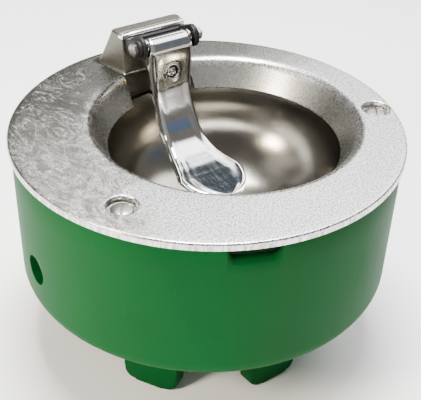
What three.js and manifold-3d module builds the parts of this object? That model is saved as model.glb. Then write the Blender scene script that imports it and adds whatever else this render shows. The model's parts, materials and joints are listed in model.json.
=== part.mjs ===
// Push-paddle drinking trough for cattle: a green plastic base, a cast cover with a hinge housing,
// a deep-drawn stainless bowl, and a pressed paddle that opens a spring valve when a muzzle pushes it.
// Millimetres, +Z up. The origin is on the base's axis, on the plane under the feet. +Y points from the
// middle to the hinge housing, and the hinge bolt runs along X.
import * as THREE from "three";
import { mergeVertices } from "three/addons/utils/BufferGeometryUtils.js";
import Module from "manifold-3d";

const wasm = await Module();
wasm.setup();

// ---- Driving dimensions ----
const GAP = 0.3; // between faces that touch
const COVER_R = 200;
const COVER_TOP = 250;
const COVER_PLATE = 5;
const COVER_EDGE = 8; // height of the cover's outer edge
const EDGE_ROUND = 2.5;
const OPENING = { x: 25, y: 5 }; // the bowl, opening and paddle share this off-centre axis
const LIP_R = 145; // where the flat cover starts to roll into the opening
const LIP_ROUND = 12;
const FUNNEL_R = 120.5;
const FUNNEL_END = 220;
const SEAL_WALL_R = 143; // inner radius of the cover's wall that presses on the gasket
const BOWL_R = 141;
const BOWL_RIM = 214.8;
const BOWL_SHEET = 1.5;
const BOWL_FLANGE_R = 148.5;
const BOWL_CORNER = 92;
const DECK_TOP = 213; // the base's inner shelf, which carries the bowl
const DECK = 5;
const SKIRT_TOP_R = 197;
const SKIRT_TOP = 241.7;
const SKIRT_R = 194;
const SKIRT_BOTTOM = 84;
const SKIRT_WALL = 4.5;
const SKIRT_ROUND = 21.5;
const FOOT_R = 127;
const FOOT_THICK = 19;
const FOOT_SPAN = 32; // degrees
const FOOT_ANGLES = [-150, -86, 30, 94];
const PIN = { x: OPENING.x, y: 119, z: 288 };
const PADDLE_SHEET = 2.2;
const VALVE_Z = 257;
const HOUSING_HALF = 40; // half the housing's width at its front
const HOUSING_WALL = 4.5;
const HOUSING_TOP = 294;
const HOUSING_REAR = 184; // y of the rear face's foot
const WALL_END = 227; // lower edge of the housing's front wall
const RECESS_X = [-17.5, 64]; // where the opening's surface is cut away for the paddle
const SIDE_HOLE = { r: 15.5, y: 8.5, z: 141 };
const NOTCH_TURN = -111.5; // degrees round the base
const SLOT_TURN = 157;
const COVER_SCREWS = { left: [-143.9, -76.5], right: [171.6, -60.8] };
const RECESS_R = 14.5;
const RECESS_DEPTH = 7;
const REAR_BOLT = [-60, 165];
const WIDE_TURN = 64; // segments round the base and the cover
const BOWL_TURN = 56; // segments round the opening and the bowl

// ---- Materials ----
function finish(color, roughness, metalness) {
  return new THREE.MeshStandardMaterial({ color, roughness, metalness });
}
const CAST = finish(0xc9c8c2, 0.45, 0.9);
const STAINLESS = finish(0xb9b4a8, 0.2, 1.0);
const POLISHED = finish(0xd5d6d8, 0.1, 1.0);
const ZINC = finish(0xb5b3ad, 0.35, 1.0);
const BRASS = finish(0xb99b56, 0.35, 1.0);
const GREEN = finish(0x2f8a3f, 0.5, 0.0);
const BLACK = finish(0x1b1b1c, 0.45, 0.0);
const RUBBER = finish(0x222222, 0.85, 0.0);

// ---- Solid helpers ----
const degrees = THREE.MathUtils.degToRad;

function solidOf(geometry) {
  const bare = geometry.clone();
  bare.deleteAttribute("normal");
  bare.deleteAttribute("uv");
  const merged = mergeVertices(bare, 1e-3);
  const corners = [...merged.index.array];
  const kept = [];
  for (let i = 0; i < corners.length; i += 3) {
    const [a, b, c] = corners.slice(i, i + 3);
    if (a !== b && b !== c && c !== a) kept.push(a, b, c);
  }
  const vertProperties = merged.attributes.position.array;
  const make = (triVerts) => new wasm.Manifold(new wasm.Mesh({ numProp: 3, vertProperties, triVerts }));
  const solid = make(new Uint32Array(kept));
  return solid.volume() > 0 ? solid : make(new Uint32Array(kept.reverse()));
}

function geometryOf(solid) {
  const mesh = solid.getMesh();
  const geometry = new THREE.BufferGeometry();
  geometry.setAttribute("position", new THREE.BufferAttribute(new Float32Array(mesh.vertProperties), 3));
  geometry.setIndex(new THREE.BufferAttribute(new Uint32Array(mesh.triVerts), 1));
  geometry.computeVertexNormals();
  return geometry;
}

const join = (...solids) => solids.reduce((a, b) => a.add(b));
const cut = (solid, ...tools) => tools.reduce((a, b) => a.subtract(b), solid);

// Points of an arc, angles in degrees.
function arc(cx, cy, r, from, to, steps) {
  return Array.from({ length: steps + 1 }, (_, i) => {
    const a = degrees(from + ((to - from) * i) / steps);
    return [cx + r * Math.cos(a), cy + r * Math.sin(a)];
  });
}

// A profile of [radius, height] points turned about the Z axis.
function turned(profile, segments, x = 0, y = 0) {
  const points = profile.map(([r, h]) => new THREE.Vector2(Math.max(r, 0), h));
  const geometry = new THREE.LatheGeometry(points, segments);
  return solidOf(geometry.rotateX(Math.PI / 2).translate(x, y, 0));
}

const closed = (profile) => [...profile, profile[0]];
const ring = (r0, r1, z0, z1, segments, x, y) =>
  turned(closed([[r0, z0], [r1, z0], [r1, z1], [r0, z1]]), segments, x, y);
const disc = (r, z0, z1, segments, x, y) => turned([[0, z0], [r, z0], [r, z1], [0, z1]], segments, x, y);

// The same along another axis: +Z is turned to +X or +Y.
const alongX = (solid) => solid.rotate([0, 90, 0]);
const alongY = (solid) => solid.rotate([-90, 0, 0]);

function box(x0, x1, y0, y1, z0, z1) {
  const geometry = new THREE.BoxGeometry(x1 - x0, y1 - y0, z1 - z0);
  return solidOf(geometry.translate((x0 + x1) / 2, (y0 + y1) / 2, (z0 + z1) / 2));
}

// A [y, z] outline extruded along X.
function prismX(outline, x0, x1) {
  const shape = new THREE.Shape(outline.map(([y, z]) => new THREE.Vector2(y, z)));
  const geometry = new THREE.ExtrudeGeometry(shape, { depth: x1 - x0, bevelEnabled: false });
  const toRow = new THREE.Matrix4().makeBasis(
    new THREE.Vector3(0, 1, 0),
    new THREE.Vector3(0, 0, 1),
    new THREE.Vector3(1, 0, 0),
  );
  return solidOf(geometry.applyMatrix4(toRow).translate(x0, 0, 0));
}

// A solid through convex loops of points, from the lowest to the highest.
function loft(loops) {
  const count = loops[0].length;
  const last = (loops.length - 1) * count;
  const faces = [];
  for (let i = 0; i + 1 < loops.length; i++) {
    for (let j = 0; j < count; j++) {
      const [a, b] = [i * count + j, i * count + ((j + 1) % count)];
      faces.push(a, b, b + count, a, b + count, a + count);
    }
  }
  for (let j = 1; j + 1 < count; j++) faces.push(0, j + 1, j, last, last + j, last + j + 1);
  const geometry = new THREE.BufferGeometry();
  geometry.setAttribute("position", new THREE.BufferAttribute(new Float32Array(loops.flat(2)), 3));
  geometry.setIndex(faces);
  return solidOf(geometry);
}

// A hexagon across flats "flats", from height z0 to z1.
function hexagon(flats, z0, z1) {
  const geometry = new THREE.CylinderGeometry(flats / Math.sqrt(3), flats / Math.sqrt(3), z1 - z0, 6);
  return solidOf(geometry.rotateX(Math.PI / 2).translate(0, 0, (z0 + z1) / 2));
}

// A hexagonal nut with a round bore and turned-off corners.
function nut(flats, bore, z0, z1) {
  const corner = flats / Math.sqrt(3);
  const side = [[flats / 2, z0], [corner, z0 + 1.5], [corner, z1 - 1.5], [flats / 2, z1]];
  const turnedOff = turned([[0, z0], ...side, [0, z1]], 24);
  return cut(hexagon(flats, z0, z1).intersect(turnedOff), disc(bore, z0 - 1, z1 + 1, 20));
}

// ---- Cast aluminium cover with the hinge housing ----
// The housing's front wall leans back: its front face is at this y.
const frontWallY = (z) => 137.5 + ((z - FUNNEL_END) * 7) / 73;

// The opening's surface, from the flat top round the lip and straight down to the lower edge.
function openingLine() {
  const slope = 50; // degrees that the roll turns through
  const roll = arc(LIP_R, COVER_TOP - LIP_ROUND, LIP_ROUND, 90, 90 + slope, 4);
  return [...roll, [FUNNEL_R, FUNNEL_END]];
}

function funnelProfile() {
  const under = [
    [FUNNEL_R + 4, FUNNEL_END],
    [LIP_R - 1, COVER_TOP - 18],
    [LIP_R + 6, COVER_TOP - COVER_PLATE],
  ];
  return closed([[LIP_R + 6, COVER_TOP], ...openingLine(), ...under]);
}

function coverPlate() {
  const inner = COVER_R - 5;
  const edge = arc(COVER_R - EDGE_ROUND, COVER_TOP - EDGE_ROUND, EDGE_ROUND, 0, 90, 2);
  const under = COVER_TOP - COVER_PLATE;
  const foot = COVER_TOP - COVER_EDGE;
  const profile = [[0, under], [inner, under], [inner, foot], [COVER_R, foot], ...edge, [0, COVER_TOP]];
  return turned(profile, WIDE_TURN);
}

function screwBoss([x, y]) {
  const floor = COVER_TOP - RECESS_DEPTH;
  const cup = disc(RECESS_R + 4, floor - 1, COVER_TOP - 1, 28, x, y);
  const pad = disc(RECESS_R + 4, floor - 4, floor, 28, x, y);
  return join(
    cup.intersect(disc(COVER_R - 1, 200, COVER_TOP, WIDE_TURN)),
    pad.intersect(disc(SKIRT_TOP_R - SKIRT_WALL - 1, 200, COVER_TOP, WIDE_TURN)),
    disc(9, 236.3, floor, 20, x, y),
  );
}

function screwRecess([x, y]) {
  const floor = COVER_TOP - RECESS_DEPTH;
  return join(disc(RECESS_R, floor, COVER_TOP + 1, 28, x, y), disc(4.8, 200, floor + 1, 16, x, y));
}

// Half the housing's width: it grows towards the rear, and more so at its foot.
function housingHalf(y, z) {
  const spread = 0.267 - (z - COVER_TOP) * 0.003;
  return HOUSING_HALF + spread * (y - frontWallY(z));
}

// The housing's outline at height z, from y0 to y1, with its sides moved in by "inset".
function housingLoop(z, y0, y1, inset = 0) {
  const front = housingHalf(y0, z) - inset;
  const rear = housingHalf(y1, z) - inset;
  const { x } = OPENING;
  return [[x - front, y0, z], [x + front, y0, z], [x + rear, y1, z], [x - rear, y1, z]];
}

function housing() {
  const rear = (z) => HOUSING_REAR - Math.max(0, z - COVER_TOP) * 0.41;
  const levels = [COVER_TOP - COVER_PLATE, COVER_TOP, 261, 272, 283, 291];
  const loops = levels.map((z) => housingLoop(z, frontWallY(z), rear(z)));
  const top = housingLoop(HOUSING_TOP, frontWallY(291) + 3, rear(HOUSING_TOP), 1);
  const under = COVER_TOP - COVER_PLATE;
  const foot = frontWallY(WALL_END);
  const wall = prismX(
    [
      [foot, WALL_END],
      [frontWallY(COVER_TOP), COVER_TOP],
      [151, COVER_TOP],
      [151, under],
      [foot + 9, under],
      [foot + HOUSING_WALL, WALL_END],
    ],
    RECESS_X[0] - 0.5,
    RECESS_X[1] + 0.5,
  );
  return join(loft([...loops, top]), wall);
}

function housingCavity() {
  const inside = (z, rear) => housingLoop(z, frontWallY(z) + HOUSING_WALL, rear, HOUSING_WALL);
  const levels = [[COVER_TOP, 178.5], [263, 173.5], [276, 168.5], [HOUSING_TOP - 5, 163.5]];
  return loft(levels.map(([z, rear]) => inside(z, rear)));
}

function cover() {
  const { x, y } = OPENING;
  const [x0, x1] = RECESS_X;
  const plate = cut(coverPlate(), disc(LIP_R + 4, COVER_TOP - 30, COVER_TOP + 10, BOWL_TURN, x, y));
  const sealWall = ring(SEAL_WALL_R, SEAL_WALL_R + 4.5, 217.4, COVER_TOP - 3, BOWL_TURN, x, y);
  const funnel = turned(funnelProfile(), BOWL_TURN, x, y);
  const recess = box(x0, x1, y + 80, 150, 190, COVER_TOP + 60);
  const cheek = (cx) => box(cx, cx + 4, 105, frontWallY(FUNNEL_END) + 4, FUNNEL_END, COVER_TOP);
  const behindFunnel = turned(
    closed([...openingLine(), [LIP_R + 5, FUNNEL_END], [LIP_R + 5, COVER_TOP]]),
    BOWL_TURN,
    x,
    y,
  );
  const cheeks = join(cheek(x0 - 3.5), cheek(x1 - 0.5)).intersect(behindFunnel);
  const rearBoss = disc(9, DECK_TOP + GAP, COVER_TOP - 1, 20, ...REAR_BOLT);
  const spotFace = alongY(disc(16, 135, 147, 28)).translate([x, 0, VALVE_Z]);
  const valveHole = alongY(disc(10.8, 120, 160, 28)).translate([x, 0, VALVE_Z]);
  const hatch = box(x - 32.5, x + 32.5, 153.5, 178, 200, COVER_TOP + 1);
  const nutPocket = box(x - 18, x + 18, 147, 154, 240.5, COVER_TOP + 1);
  const bracketHole = (dx) => alongY(disc(2.6, 130, 160, 12)).translate([x + dx, 0, 281]);
  const shell = join(plate, funnel, rearBoss, ...Object.values(COVER_SCREWS).map(screwBoss));
  const withHousing = join(cut(shell, recess), sealWall, housing(), cheeks);
  const hollow = cut(withHousing, housingCavity(), hatch, nutPocket);
  return cut(
    join(hollow, spotFace),
    valveHole,
    bracketHole(-15),
    bracketHole(15),
    disc(3.4, 200, 238, 14, ...REAR_BOLT),
    ...Object.values(COVER_SCREWS).map(screwRecess),
  );
}

// ---- Green base, one moulding: skirt, shelf for the bowl, bottom flange and four feet ----
function skirt() {
  const outer = arc(SKIRT_R - SKIRT_ROUND, SKIRT_BOTTOM + SKIRT_ROUND, SKIRT_ROUND, 0, -90, 5);
  const inner = arc(SKIRT_R - SKIRT_ROUND, SKIRT_BOTTOM + SKIRT_ROUND, SKIRT_ROUND - SKIRT_WALL, -90, 0, 5);
  const lip = FOOT_R - FOOT_THICK;
  const profile = closed([
    [SKIRT_TOP_R - 1, SKIRT_TOP],
    [SKIRT_TOP_R, SKIRT_TOP - 1],
    ...outer,
    [lip, SKIRT_BOTTOM],
    [lip, SKIRT_BOTTOM + SKIRT_WALL],
    ...inner,
    [SKIRT_TOP_R - SKIRT_WALL, SKIRT_TOP],
  ]);
  return turned(profile, WIDE_TURN);
}

function baseBody() {
  const { x, y } = OPENING;
  const deck = cut(
    disc(SKIRT_R - 1, DECK_TOP - DECK, DECK_TOP, WIDE_TURN),
    disc(BOWL_R + 1.6, DECK_TOP - 20, DECK_TOP + 20, BOWL_TURN, x, y),
  );
  const column = ([cx, cy]) => disc(9, DECK_TOP - 1, 236, 20, cx, cy);
  const screwHole = ([cx, cy], r) => disc(r, DECK_TOP - 20, 240, 16, cx, cy);
  const inletGap = box(x - 16, x + 16, y + BOWL_R, 178, DECK_TOP - 20, DECK_TOP + 20);
  const atSide = (solid) => alongX(solid).translate([0, SIDE_HOLE.y, SIDE_HOLE.z]);
  const sideBoss = atSide(disc(SIDE_HOLE.r + 3.5, -192, -180, 32));
  const sideHole = atSide(disc(SIDE_HOLE.r, -210, -170, 32));
  const notchPad = box(183, 194, -31, 31, DECK_TOP - 2, SKIRT_TOP).rotate([0, 0, NOTCH_TURN]);
  const notch = box(189, 205, -25, 25, 228, 260).rotate([0, 0, NOTCH_TURN]);
  const hoseSlot = box(150, 185.5, -22, 22, 80, 93).rotate([0, 0, SLOT_TURN]);
  const screws = Object.values(COVER_SCREWS);
  return cut(
    join(skirt(), deck, sideBoss, notchPad, ...screws.map(column), ...FOOT_ANGLES.map(foot)),
    inletGap,
    sideHole,
    notch,
    hoseSlot,
    screwHole(REAR_BOLT, 4.6),
    ...screws.map((at) => screwHole(at, 4.8)),
  );
}

// One foot: a curved pad that hangs from the ring, with rounded corners at its lower end.
function foot(angle) {
  const half = FOOT_SPAN / 2;
  const middle = FOOT_R - FOOT_THICK / 2;
  const width = degrees(half) * middle;
  const corner = 9;
  const shape = new THREE.Shape();
  shape.moveTo(-width, SKIRT_BOTTOM + 2);
  shape.lineTo(-width + 2, corner);
  shape.quadraticCurveTo(-width + 2, 0, -width + corner, 0);
  shape.lineTo(width - corner, 0);
  shape.quadraticCurveTo(width - 2, 0, width - 2, corner);
  shape.lineTo(width, SKIRT_BOTTOM + 2);
  const slab = new THREE.ExtrudeGeometry(shape, { depth: 60, bevelEnabled: false, curveSegments: 4 });
  const upright = solidOf(slab.rotateX(Math.PI / 2).translate(0, -middle + 30, 0));
  const band = ring(FOOT_R - FOOT_THICK, FOOT_R, -1, SKIRT_BOTTOM + 3, BOWL_TURN);
  return upright.intersect(band).rotate([0, 0, angle + 90]);
}

// ---- Stainless bowl and its gasket, about the opening's axis ----
function bowl() {
  const inside = BOWL_R - BOWL_SHEET;
  const turnAt = 200;
  const flatR = inside - BOWL_CORNER;
  const outer = arc(flatR, turnAt, BOWL_CORNER + BOWL_SHEET, -90, 0, 9);
  const inner = arc(flatR, turnAt, BOWL_CORNER, 0, -90, 9);
  return turned(
    [
      [0, turnAt - BOWL_CORNER - BOWL_SHEET],
      ...outer,
      [BOWL_R, DECK_TOP + GAP],
      [BOWL_FLANGE_R, DECK_TOP + GAP],
      [BOWL_FLANGE_R, BOWL_RIM],
      [inside, BOWL_RIM],
      ...inner,
      [0, turnAt - BOWL_CORNER],
    ],
    BOWL_TURN,
  );
}

const bowlGasket = () => ring(SEAL_WALL_R, SEAL_WALL_R + 5, BOWL_RIM + GAP, 217.1, BOWL_TURN);

// ---- Paddle, in the frame of the hinge bolt ----
// Half-width, y and z of the face's middle line, from the hood's front to where the rounded tip starts.
const PADDLE_LINE = [
  [27.5, 105, 282.5],
  [26.5, 105, 262],
  [24.8, 103.5, 245],
  [24, 98.5, 226],
  [24.2, 90, 206],
  [25, 78, 191.5],
  [28, 62, 181.2],
  [33, 44, 176],
  [39.5, 27, 172.5],
];
const TIP_R = 39.5;
const TIP_DROP = 0.17; // how far the tongue falls for each mm that it runs forward
const HOOD_R = 14;
const HOOD_DROP = 5.5; // its axis lies this much below the bolt's
const HOOD_START = 75; // degrees above +Y where the hood's rear edge lies
const ACCESS_RISE = 0.9; // the face's hole sits this much above the valve's axis, and below it when pushed

// Stations of the sheet: {y, z, w, ny, nz, depth}; "inset" is 0 for the outer skin and the sheet's
// thickness for the inner one.
function paddleStations(inset) {
  const stations = [];
  for (const [y, z] of arc(0, 0, 1, HOOD_START, 180, 6).slice(0, -1)) {
    const place = { y: y * HOOD_R, z: z * HOOD_R - HOOD_DROP };
    stations.push({ ...place, w: 27.5 - inset, ny: -y, nz: -z, depth: 8 });
  }
  const points = PADDLE_LINE.map(([w, y, z]) => new THREE.Vector3(w, y - PIN.y, z - PIN.z));
  const curve = new THREE.CatmullRomCurve3(points);
  const strapSteps = 16;
  for (let i = 0; i < strapSteps; i++) {
    const t = i / strapSteps;
    const at = curve.getPointAt(t);
    const run = curve.getTangentAt(t);
    const length = Math.hypot(run.y, run.z);
    const depth = THREE.MathUtils.lerp(11, 6, Math.min(1, t * 1.4));
    stations.push({ y: at.y, z: at.z, w: at.x - inset, ny: -run.z / length, nz: run.y / length, depth });
  }
  const root = points[points.length - 1];
  const length = Math.hypot(1, TIP_DROP);
  const [dy, dz] = [-1 / length, -TIP_DROP / length];
  const tipSteps = 8;
  for (let i = 0; i <= tipSteps; i++) {
    const a = degrees((88 * i) / tipSteps);
    const reach = (TIP_R - inset) * Math.sin(a);
    const w = (TIP_R - inset) * Math.cos(a);
    stations.push({ y: root.y + dy * reach, z: root.z + dz * reach, w, ny: -dz, nz: dy, depth: 6 });
  }
  return stations;
}

// One row of the channel section across the paddle, from one flange's edge to the other's.
function channelRow({ y, z, w, ny, nz, depth }, inset) {
  const round = Math.min(5.5, w * 0.8);
  const corner = arc(w - round, inset + round, round, 0, -90, 3).slice(1);
  const side = [[w, depth], [w, inset + round], ...corner];
  const across = [...side, [0, inset], ...side.map(([u, v]) => [-u, v]).reverse()];
  return across.map(([u, v]) => [u, y + ny * v, z + nz * v]);
}

// A closed sheet between two grids of points of the same size.
function sheetSolid(outer, inner) {
  const rows = outer.length;
  const columns = outer[0].length;
  const points = [...outer.flat(), ...inner.flat()];
  const at = (layer, i, j) => layer * rows * columns + i * columns + j;
  const faces = [];
  const quad = (a, b, c, d) => faces.push(a, b, c, a, c, d);
  for (let i = 0; i + 1 < rows; i++) {
    for (let j = 0; j + 1 < columns; j++) {
      quad(at(0, i, j), at(0, i + 1, j), at(0, i + 1, j + 1), at(0, i, j + 1));
      quad(at(1, i, j), at(1, i, j + 1), at(1, i + 1, j + 1), at(1, i + 1, j));
    }
    const last = columns - 1;
    quad(at(0, i, 0), at(1, i, 0), at(1, i + 1, 0), at(0, i + 1, 0));
    quad(at(0, i, last), at(0, i + 1, last), at(1, i + 1, last), at(1, i, last));
  }
  for (let j = 0; j + 1 < columns; j++) {
    const last = rows - 1;
    quad(at(0, 0, j), at(0, 0, j + 1), at(1, 0, j + 1), at(1, 0, j));
    quad(at(0, last, j), at(1, last, j), at(1, last, j + 1), at(0, last, j + 1));
  }
  const geometry = new THREE.BufferGeometry();
  geometry.setAttribute("position", new THREE.BufferAttribute(new Float32Array(points.flat()), 3));
  geometry.setIndex(faces);
  return solidOf(geometry);
}

function paddle() {
  const outer = paddleStations(0).map((s) => channelRow(s, 0));
  const inner = paddleStations(PADDLE_SHEET).map((s) => channelRow(s, PADDLE_SHEET));
  const lug = (x) => alongX(disc(8.3, x, x + PADDLE_SHEET, 24));
  const sheet = join(sheetSolid(outer, inner), lug(-27.5), lug(27.5 - PADDLE_SHEET));
  const accessHole = alongY(disc(7, -30, 0, 24)).translate([0, 0, VALVE_Z + ACCESS_RISE - PIN.z]);
  return cut(sheet, alongX(disc(6.3, -40, 40, 24)), accessHole);
}

// ---- Hinge: plastic bracket, bolt, nut, washer and the sleeve that the paddle turns on ----
const EAR_IN = 29.8;
const EAR_LEFT = 37.4; // outer faces of the two ears
const EAR_RIGHT = 35.5;

function hingeBracket() {
  const rear = (z) => frontWallY(z) - GAP - PIN.y;
  const low = -14.6;
  const top = 4;
  const plateOutline = [
    [rear(PIN.z + low) - 5, low],
    [rear(PIN.z + low), low],
    [rear(288), 0],
    [rear(288), top],
    [rear(288) - 6, top],
  ];
  const ear = (x0, x1, r, foot) => {
    const round = arc(0, 0, r, 80, 250, 10);
    const back = [[rear(PIN.z + low), low], [rear(288), 0], [rear(288), top]];
    return prismX([...back, ...round, [foot, low]], x0, x1);
  };
  const left = join(ear(-EAR_LEFT, -33, 9.5, 14), ear(-33.5, -EAR_IN, 12.5, 8));
  const body = join(prismX(plateOutline, -EAR_LEFT, EAR_RIGHT), left, ear(EAR_IN, EAR_RIGHT, 12.5, 8));
  const screwHole = (x) => alongY(disc(2.6, 5, 40, 12)).translate([x, 0, 281 - PIN.z]);
  return cut(body, alongX(disc(4.3, -50, 50, 16)), screwHole(-15), screwHole(15));
}

function hingeBolt() {
  const seat = -EAR_LEFT - GAP;
  const head = hexagon(13, seat - 5.5, seat);
  const domed = turned([[0, seat - 5.5], [6.2, seat - 5.5], [7.6, seat - 4], [7.6, seat], [0, seat]], 24);
  return alongX(join(head.intersect(domed), disc(4, seat - 1, 45.5, 20)));
}

const hingeWasher = () => alongX(ring(4.4, 8, EAR_RIGHT + GAP, EAR_RIGHT + 1.7, 20));
const hingeNut = () => alongX(nut(13, 4.3, EAR_RIGHT + 2, EAR_RIGHT + 7.5));
const hingeSleeve = () => alongX(ring(4.4, 6, -EAR_IN + GAP, EAR_IN - GAP, 20));

function bracketScrew() {
  const head = turned([[0, 132.2], [2.5, 132.4], [4.6, 133.6], [4.6, 135.2], [0, 135.2]], 16);
  const body = join(head, disc(2.2, 135, 150, 12));
  return alongY(cut(body, box(-6, 6, -0.6, 0.6, 131, 133.2)));
}

// ---- Valve, turned about its own axis along Y ----
const SEAT_Y = 139.2;

function valveBody() {
  const nose = join(hexagon(27, 126, 132.7).intersect(disc(14.6, 120, 140, 28)), disc(10.5, 130, 152, 28));
  const tail = disc(7.6, 150, 158, 24);
  const waterway = join(disc(6.6, 120, 135, 24), disc(4.4, 130, 145, 20), disc(6.6, SEAT_Y, 154, 24));
  const outlet = disc(4.6, 150, 170, 20);
  return cut(join(nose, tail), waterway, outlet);
}

const valveGasket = () => ring(11, 15, 133, 134.7, 28);
const valveLockNut = () => nut(26, 10.8, 147.3, 152);
const stemGuide = () => {
  const notch = (turn) => box(4.6, 8, -1.6, 1.6, 125, 131).rotate([0, 0, turn]);
  return cut(ring(2.9, 6.4, 126.4, 129.5, 24), notch(0), notch(90), notch(180), notch(270));
};
const valveStem = () => join(disc(2.4, 116, 145.5, 16), disc(5.8, 142.8, 144.4, 20));
const valveSeal = () => ring(2.6, 6, SEAT_Y + GAP, 142.5, 24);

function pusherCap() {
  const dome = 30; // radius of the domed face that the paddle rolls on
  const tip = 107.6;
  const face = [0, 3, 6, 8.5, 10.5].map((r) => [r, tip + dome - Math.sqrt(dome * dome - r * r)]);
  const cap = turned([...face, [10.5, 116], [6.5, 121], [0, 121]], 28);
  return cut(cap, disc(5.8, 100, 110.5, 20), disc(2.7, 100, 130, 16));
}

function flowScrew() {
  const head = turned([[0, 106.9], [4.5, 107], [5.3, 107.8], [5.3, 110.2], [0, 110.2]], 24);
  const shank = disc(2.4, 110, 115.6, 14);
  return cut(join(head, shank), box(-6, 6, -0.8, 0.8, 105, 108.2));
}

function valveSpring() {
  const turns = 3.5;
  const [start, end, wire, radius] = [145.4, 153.1, 0.5, 5.4];
  class Helix extends THREE.Curve {
    getPoint(t, target = new THREE.Vector3()) {
      const a = t * turns * 2 * Math.PI;
      return target.set(radius * Math.cos(a), radius * Math.sin(a), THREE.MathUtils.lerp(start, end, t));
    }
  }
  const section = new THREE.Shape(arc(0, 0, wire, 0, 300, 5).map(([x, y]) => new THREE.Vector2(x, y)));
  const along = { steps: 42, extrudePath: new Helix(), bevelEnabled: false };
  return solidOf(new THREE.ExtrudeGeometry(section, along));
}

// ---- Water inlet, in the valve's frame: an elbow that turns down, with a union nut under it ----
const ELBOW_Y = 164;
const INLET_END = -62; // below the valve's axis

function inletElbow() {
  const level = (r, from, to) => alongY(disc(r, from, to, 24));
  const upright = (r, top) => disc(r, INLET_END, top, 24, 0, ELBOW_Y);
  const knee = solidOf(new THREE.SphereGeometry(9.5, 24, 12).translate(0, ELBOW_Y, 0));
  const outside = join(level(9.5, 152.4, ELBOW_Y), knee, upright(9.5, 0));
  const bore = join(level(6, 150, ELBOW_Y + 4), upright(6, 4), disc(6, INLET_END - 5, 2, 24, 0, ELBOW_Y));
  return cut(outside, bore, level(7.9, 150, 158.4));
}

function inletNut() {
  const top = INLET_END + 8;
  return nut(27, 9.8, INLET_END - 8, top).translate([0, ELBOW_Y, 0]);
}

// ---- Fasteners that hold the cover down ----
function coverScrew() {
  const seat = COVER_TOP - RECESS_DEPTH + GAP;
  const dome = [[11, seat], [11, seat + 1.6], [9.6, seat + 2.6], [5, seat + 3.9]];
  const head = turned([[0, seat], ...dome, [0, seat + 4.3]], 32);
  const screw = join(head, disc(4.4, 199, seat + 1, 16));
  return cut(screw, box(-1.3, 1.3, -12, 12, seat + 2.2, seat + 6).rotate([0, 0, -35]));
}

const coverNut = () => nut(15, 4.7, 200.5, DECK_TOP - DECK - GAP);

function rearBolt() {
  const head = hexagon(13, 200, 205.4);
  return join(head, disc(3.2, 205, 234, 14));
}

const rearWasher = () => ring(3.6, 9, 205.7, DECK_TOP - DECK - GAP, 20);

// ---- Assembly ----
function mesh(name, solid, material, parent, position = [0, 0, 0]) {
  const made = new THREE.Mesh(geometryOf(solid), material);
  made.name = name;
  made.position.set(...position);
  parent.add(made);
}

const trough = new THREE.Group();
const bowlAxis = new THREE.Group();
bowlAxis.position.set(OPENING.x, OPENING.y, 0);
const hinge = new THREE.Group();
hinge.position.set(PIN.x, PIN.y, PIN.z);
const valve = new THREE.Group();
valve.position.set(PIN.x, 0, VALVE_Z);
trough.add(bowlAxis, hinge, valve);

mesh("base_body", baseBody(), GREEN, trough);
mesh("cast_cover", cover(), CAST, trough);
for (const [side, [x, y]] of Object.entries(COVER_SCREWS)) {
  mesh(`cover_screw_${side}`, coverScrew(), ZINC, trough, [x, y, 0]);
  mesh(`cover_nut_${side}`, coverNut(), ZINC, trough, [x, y, 0]);
}
mesh("rear_bolt", rearBolt(), ZINC, trough, [...REAR_BOLT, 0]);
mesh("rear_washer", rearWasher(), ZINC, trough, [...REAR_BOLT, 0]);

mesh("bowl", bowl(), STAINLESS, bowlAxis);
mesh("bowl_gasket", bowlGasket(), RUBBER, bowlAxis);

mesh("paddle", paddle(), POLISHED, hinge);
mesh("hinge_bracket", hingeBracket(), BLACK, hinge);
mesh("hinge_bolt", hingeBolt(), ZINC, hinge);
mesh("hinge_washer", hingeWasher(), ZINC, hinge);
mesh("hinge_nut", hingeNut(), ZINC, hinge);
mesh("hinge_sleeve", hingeSleeve(), STAINLESS, hinge);
for (const [side, dx] of [["left", -15], ["right", 15]]) {
  mesh(`bracket_screw_${side}`, bracketScrew(), ZINC, trough, [PIN.x + dx, 0, 281]);
}

mesh("valve_body", alongY(valveBody()), BRASS, valve);
mesh("valve_gasket", alongY(valveGasket()), RUBBER, valve);
mesh("valve_lock_nut", alongY(valveLockNut()), BRASS, valve);
mesh("stem_guide", alongY(stemGuide()), BLACK, valve);
mesh("valve_stem", alongY(valveStem()), STAINLESS, valve);
mesh("valve_seal", alongY(valveSeal()), RUBBER, valve);
mesh("valve_spring", alongY(valveSpring()), STAINLESS, valve);
mesh("pusher_cap", alongY(pusherCap()), BLACK, valve);
mesh("flow_screw", alongY(flowScrew()), POLISHED, valve);
mesh("inlet_elbow", inletElbow(), BRASS, valve);
mesh("inlet_nut", inletNut(), BRASS, valve);

export default trough;
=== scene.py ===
"""Push-paddle livestock water trough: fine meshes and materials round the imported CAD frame.

Lengths are millimetres in the row frame (+Z up, +Y towards the hinge housing, X along the hinge bolt), and
mesh_of() turns them into metres. The dimensions follow the CAD nodes that the pieces stand for. A few edges
that show differ from them by up to 2 mm, and bosses and holes that can't be seen are left out.
"""

import json
import math

import bmesh
import bpy
import numpy as np
from mathutils import Matrix, Vector


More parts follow.
